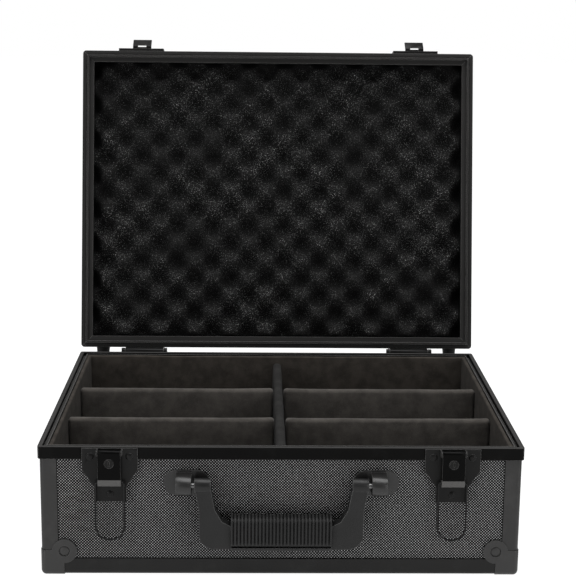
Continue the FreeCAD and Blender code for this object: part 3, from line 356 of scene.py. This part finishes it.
def moulded(name, tone, roughness, specular, edge=0.0):
    """Moulded plastic or rubber: a fine even grain, faint flow marks and a little handling polish, with
    painted shade in its grooves and painted highlights on its edges.
    """
    look = Look(name, tone, roughness)
    flow = look.mix(look.noise(22, 3), grey(tone * 0.8), grey(tone * 1.3))
    # Painted shade: grooves and hollows are darkened towards black.
    flow_in_painted_shade = look.mix(look.span(openness(look, PLASTIC_SHADE_REACH), 0.35, 0.95), grey(tone * 0.05), flow)
    # Lighter edges, when an edge tone is given, are painted highlights.
    look.colour(look.mix(look.edges(PLASTIC_EDGE), flow_in_painted_shade, grey(edge)) if edge else flow_in_painted_shade)
    polish = look.noise(60, 4, 0.6)
    look.roughness(look.span(polish, 0.3, 0.7, roughness - 0.1, roughness + 0.08))
    look.set(specular=specular)
    look.bump(look.cells(1500), 0.05 * MM)
    return look


def dark_steel(name, tone, roughness):
    """Blackened drawn wire: lengthwise streaks and bright spots worn by rubbing."""
    look = Look(name, tone, roughness)
    streaks = look.noise(700, 3, at=look.stretched((1, 1, 0.06)))
    rub = look.span(look.noise(90, 4, 0.6), 0.55, 0.75)
    base = look.mix(streaks, grey(tone * 0.6), grey(tone * 1.5))
    look.colour(look.mix(look.math("MULTIPLY", rub, 0.4), base, grey(0.4)))
    look.set(metallic=1.0)
    look.bump(streaks, 0.02 * MM)
    return look


# The way the lid rim's lips face with the lid open; faces turned this way get painted light.
LID_LIP_FACING = OPEN_TURN.to_3x3() @ Vector((0, 0, -1))
LEVER_ROLL_RADIUS = 3.4 * MM
LEVER_ROLL_TOP = joints["latch_bail_left"]["pos_m"][2] + LEVER_ROLL_RADIUS

# The `edge` tones are painted highlights along the edges, with a little edge wear. The rims' `faces`
# tones are painted light on the faces turned towards the lamps.
LOOKS = {
    "frame": coated_metal("frame_satin", 0.018, 0.46, specular=0.3),
    "rail": coated_metal("rail_satin", 0.009, 0.46, specular=0.18),
    "rim": coated_metal("rim_satin", 0.004, 0.4, specular=0.03, edge=0.16,
                        faces=((0, 0, 1), 0.04)),
    "lid_rim": coated_metal("lid_rim_satin", 0.004, 0.4, specular=0.05, edge=0.16,
                            faces=(LID_LIP_FACING, 0.022)),
    "cap": coated_metal("cap_satin", 0.02, 0.42, specular=0.35, edge=0.09),
    "plate": coated_metal("plate_satin", 0.006, 0.34, specular=0.12, peel_mm=0.015, edge=0.14),
    # The lever's lighter lower end, below the top of its roll, is a painted highlight.
    "lever": coated_metal("lever_gloss", 0.002, 0.3, specular=0.04, peel_mm=0.015, edge=0.1,
                          painted_highlight_below=(LEVER_ROLL_TOP, 0.085)),
    "bracket": coated_metal("bracket_gloss", 0.012, 0.34, specular=0.4, peel_mm=0.015, edge=0.12),
    "wire": coated_metal("wire_painted", 0.002, 0.25, specular=0.2, peel_mm=0.01),
    "steel": dark_steel("pin_blackened", 0.12, 0.3),
    "plastic": moulded("handle_satin", 0.011, 0.4, specular=0.22, edge=0.09),
    "rubber": moulded("grip_rubber_black", 0.022, 0.5, specular=0.1),
    "foot": moulded("foot_rubber_black", 0.012, 0.7, specular=0.25),
    "lining": felt("lining_felt_brown", 0.03, 0.14, sheen=0.02),
    "divider": felt("divider_felt_grey", 0.045, 0.1, sheen=0.1),
    "divider_long": felt("divider_felt_dark", 0.016, 0.03, sheen=0.02),
    "foam": open_foam("foam_charcoal"),
}


def material_key(name):
    """Which look a hard CAD node wears."""
    if "_rim_" in name:
        return "lid_rim" if name.startswith("lid") else "rim"
    if "rails" in name:
        return "rail"
    if "corner_caps" in name or "corner_rivets" in name:
        return "cap"
    if "rear_feet" in name:
        return "foot"
    if name == "handle_grip":
        return "rubber"
    if name == "handle_frame":
        return "plastic"
    if "bail" in name:
        return "wire"
    if "pins" in name:
        return "steel"
    if "lever" in name:
        return "lever"
    if "bracket" in name:
        return "bracket"
    if name.startswith(("latch", "lid_catch", "hinge")):
        return "plate"
    return "frame"


BEVELS_MM = {"rim": 0.35, "lid_rim": 0.35, "rail": 0.4, "frame": 0.4, "cap": 0.3, "plate": 0.3,
             "lever": 0.3, "bracket": 0.3, "wire": 0.1, "steel": 0.15, "plastic": 0.8, "rubber": 0.25,
             "foot": 0.4}
WELD_DISTANCE = 0.01 * MM
FLAT_DEG = 1.0
SHARP_DEG = 38

# The two axes of each panel's plane, with the lid shut.
PANEL_AXES = {"base_panel_front": (0, 2), "base_panel_rear": (0, 2), "base_side_panels": (1, 2),
              "base_panel_bottom": (0, 1), "lid_panel_front": (0, 2), "lid_panel_rear": (0, 2),
              "lid_side_panels": (1, 2), "lid_panel_top": (0, 1)}


def soften_edges(piece, width):
    """Joins the CAD mesh's faces back up and rounds its sharp edges a little."""
    weld = piece.modifiers.new("weld", "WELD")
    weld.merge_threshold = WELD_DISTANCE
    flat = piece.modifiers.new("flat", "DECIMATE")
    flat.decimate_type = "DISSOLVE"
    flat.angle_limit = math.radians(FLAT_DEG)
    edge = piece.modifiers.new("edge", "BEVEL")
    edge.width = width
    edge.segments = 2
    edge.limit_method = "ANGLE"
    edge.angle_limit = math.radians(SHARP_DEG)
    edge.harden_normals = True


def dress_hard_nodes():
    for name, piece in nodes.items():
        if piece.hide_render:
            continue
        if name in PANEL_AXES:
            closed = (LID_OPEN, 0, 0) if name.startswith("lid") else None
            woven_film("film_" + name, *PANEL_AXES[name], closed=closed).dress(piece)
            continue
        key = material_key(name)
        LOOKS[key].dress(piece)
        soften_edges(piece, BEVELS_MM[key] * MM)


# ---- soft pieces ----

# Stands in for a zero length when dividing.
TINY = 1e-12
# The largest share of a board's half thickness that its edges' radius takes.
MOST_ROUNDING = 0.98
CLOTH = {"quality": 4, "use_pressure": True, "uniform_pressure_force": 4, "tension_stiffness": 20,
         "bending_stiffness": 1}
PUFF_FRAMES = 20
SWELL = 0.8 * MM
SWELL_ROOM = SWELL * 0.6
DIVIDERS = ("divider_long", "divider_left_front", "divider_left_rear", "divider_right_front",
            "divider_right_rear")
# The radius of a board's edges and the size of its quads.
DIVIDER_BOARD = (3.6 * MM, 5 * MM)
WALL_BOARD = (1.6 * MM, 6 * MM)
FLOOR_BOARD = (1.2 * MM, 9 * MM)
RIPPLE_SIZE = 38 * MM
RIPPLE_DEPTH = 0.35 * MM
RIPPLE_SHIFT = (7.1, 3.7, 1.9)


def new_piece(name, vertices, faces):
    mesh = bpy.data.meshes.new(name)
    mesh.from_pydata([tuple(v) for v in vertices], [], faces)
    mesh.validate()
    mesh.shade_smooth()
    piece = bpy.data.objects.new(name, mesh)
    scene.collection.objects.link(piece)
    return piece


def rounded_board(name, low, high, radius, spacing):
    """A closed board of even quads whose edges and corners are rounded."""
    low, high = np.array(low), np.array(high)
    middle, half = (low + high) / 2, (high - low) / 2
    radius = min(radius, *(half * MOST_ROUNDING))
    stations = []
    for h in half:
        inner = max(2, int(round(2 * (h - radius) / spacing)) + 1)
        flat = np.linspace(-(h - radius), h - radius, inner)
        steps = [radius * math.tan(math.pi / 4 * s) for s in (1 / 3, 2 / 3, 1)]
        stations.append(np.concatenate([[flat[0] - s for s in reversed(steps)], flat,
                                        [flat[-1] + s for s in steps]]))
    index, points, faces = {}, [], []

    def corner(i, j, k):
        if (i, j, k) not in index:
            p = np.array([stations[0][i], stations[1][j], stations[2][k]])
            core = np.clip(p, -(half - radius), half - radius)
            away = p - core
            points.append(middle + core + radius * away / max(np.linalg.norm(away), TINY))
            index[(i, j, k)] = len(points) - 1
        return index[(i, j, k)]

    for axis in range(3):
        a, b = [n for n in range(3) if n != axis]
        for end in (0, len(stations[axis]) - 1):
            for i in range(len(stations[a]) - 1):
                for j in range(len(stations[b]) - 1):
                    quad = []
                    for di, dj in ((0, 0), (1, 0), (1, 1), (0, 1)):
                        spot = [0, 0, 0]
                        spot[axis], spot[a], spot[b] = end, i + di, j + dj
                        quad.append(corner(*spot))
                    outward = (end > 0) == (axis != 1)
                    faces.append(quad if outward else quad[::-1])
    return new_piece(name, points, faces)


def coordinates(mesh):
    flat = np.zeros(len(mesh.vertices) * 3, np.float32)
    mesh.vertices.foreach_get("co", flat)
    return flat.reshape(-1, 3).astype(float)


def puff(pieces, most):
    """Fills the pads with a little air as cloth. No point moves further than `most`."""
    for piece in pieces:
        cloth = piece.modifiers.new("cloth", "CLOTH")
        for key, value in CLOTH.items():
            setattr(cloth.settings, key, value)
        cloth.settings.effector_weights.gravity = 0
        cloth.collision_settings.use_collision = False
        cloth.point_cache.frame_start, cloth.point_cache.frame_end = 1, PUFF_FRAMES
    for step in range(1, PUFF_FRAMES + 1):
        scene.frame_set(step)
    graph = bpy.context.evaluated_depsgraph_get()
    shapes = [coordinates(piece.evaluated_get(graph).data) for piece in pieces]
    for piece, filled in zip(pieces, shapes):
        rest = coordinates(piece.data)
        move = filled - rest
        length = np.linalg.norm(move, axis=1, keepdims=True)
        move *= most * np.tanh(length / most) / np.maximum(length, TINY)
        piece.modifiers.remove(piece.modifiers["cloth"])
        piece.data.vertices.foreach_set("co", (rest + move).astype(np.float32).ravel())
        piece.data.update()
    scene.frame_set(1)


def ripple(piece, seed):
    """Moves every point a little along its normal, by smooth noise."""
    shift = Vector([seed * step for step in RIPPLE_SHIFT])
    normals = [v.normal.copy() for v in piece.data.vertices]
    for vertex, normal in zip(piece.data.vertices, normals):
        vertex.co += normal * RIPPLE_DEPTH * noise.noise(vertex.co / RIPPLE_SIZE + shift)
    piece.data.update()


def smooth(piece):
    finer = piece.modifiers.new("finer", "SUBSURF")
    finer.levels = finer.render_levels = 1


def build_pads():
    """The felt-covered dividers, wall linings and floor lining."""
    pads = []
    for name in DIVIDERS:
        kind, thin = ("divider_long", 0) if name == "divider_long" else ("divider", 1)
        low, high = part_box(name)
        low[thin] += SWELL_ROOM
        high[thin] -= SWELL_ROOM
        high[2] -= SWELL_ROOM
        board = rounded_board(name + "_felt", low, high, *DIVIDER_BOARD)
        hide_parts(name)
        pads.append((board, kind))
    whole_low, whole_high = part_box("wall_linings")
    inner_y, inner_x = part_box("divider_long")[1].y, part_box("divider_right_rear")[1].x
    edge_y, edge_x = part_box("base_rim_rear")[0].y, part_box("base_rim_right")[0].x
    walls = {
        "front": ((-edge_x, -edge_y), (edge_x, -inner_y)),
        "rear": ((-edge_x, inner_y), (edge_x, edge_y)),
        "left": ((-edge_x, -edge_y), (-inner_x, edge_y)),
        "right": ((inner_x, -edge_y), (edge_x, edge_y)),
    }
    for side, (start, end) in walls.items():
        wall = rounded_board(f"wall_felt_{side}", (*start, whole_low.z), (*end, whole_high.z),
                             *WALL_BOARD)
        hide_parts("wall_linings")
        pads.append((wall, "lining"))
    floor = rounded_board("floor_felt", *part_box("floor_lining"), *FLOOR_BOARD)
    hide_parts("floor_lining")
    pads.append((floor, "lining"))
    puff([pad for pad, _ in pads], SWELL)
    for seed, (pad, kind) in enumerate(pads, start=1):
        ripple(pad, seed)
        smooth(pad)
        LOOKS[kind].dress(pad)
        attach(pad, "base")


FOAM_WAVE_MM = (41.6, 41.0)
FOAM_PEAK_MM = (7.5, 12.0)
FOAM_RELIEF_MM = 15.0
FOAM_TOP_MM = 0.6
FOAM_ROUNDNESS = 0.85
FOAM_STEP = 2.0 * MM
# Slow and fine unevenness of the foam: the height in the noise, its size, and its depth in mm.
FOAM_DRIFTS = ((0.3, 34 * MM, 1.1), (0, 4 * MM, 0.35))


def foam_depth_mm(x, y):
    """How far the foam's face lies behind the front of its block at a point, in mm."""
    (peak_x, peak_y), (wave_x, wave_y) = FOAM_PEAK_MM, FOAM_WAVE_MM
    wave = (math.cos(2 * math.pi * (x / MM - peak_x) / wave_x)
            * math.cos(2 * math.pi * (y / MM - peak_y) / wave_y))
    height = 0.5 + 0.5 * math.copysign(abs(wave) ** FOAM_ROUNDNESS, wave)
    drift = sum(noise.noise(Vector((x, y, z)) / size) * depth for z, size, depth in FOAM_DRIFTS)
    return max(FOAM_RELIEF_MM * (1 - height) + drift + FOAM_TOP_MM, 0)


def build_foam():
    """The lid's egg-crate foam: staggered round bumps and hollows pressed into a block."""
    corners = np.array([SHUT_TURN @ v.co for v in nodes["lid_foam"].data.vertices])
    low, high = corners.min(0), corners.max(0)
    xs = np.linspace(low[0], high[0], int((high[0] - low[0]) / FOAM_STEP))
    ys = np.linspace(low[1], high[1], int((high[1] - low[1]) / FOAM_STEP))
    points = [(x, y, low[2] + foam_depth_mm(x, y) * MM) for y in ys for x in xs]
    faces = []
    across = len(xs)
    for j in range(len(ys) - 1):
        for i in range(across - 1):
            a = j * across + i
            faces.append((a, a + across, a + across + 1, a + 1))
    rim = (list(range(across)) + [j * across + across - 1 for j in range(1, len(ys))]
           + [(len(ys) - 1) * across + i for i in range(across - 2, -1, -1)]
           + [j * across for j in range(len(ys) - 2, 0, -1)])
    back = len(points)
    points += [(points[k][0], points[k][1], high[2]) for k in rim]
    count = len(rim)
    for n in range(count):
        m = (n + 1) % count
        faces.append((rim[n], rim[m], back + m, back + n))
    hub = len(points)
    points.append(((low[0] + high[0]) / 2, (low[1] + high[1]) / 2, high[2]))
    faces += [(back + n, back + (n + 1) % count, hub) for n in range(count)]
    piece = new_piece("lid_foam_eggcrate", [OPEN_TURN @ Vector(p) for p in points], faces)
    LOOKS["foam"].dress(piece)
    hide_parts("lid_foam")
    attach(piece, "lid")


add_camera()
add_studio()
build_pads()
build_foam()
dress_hard_nodes()
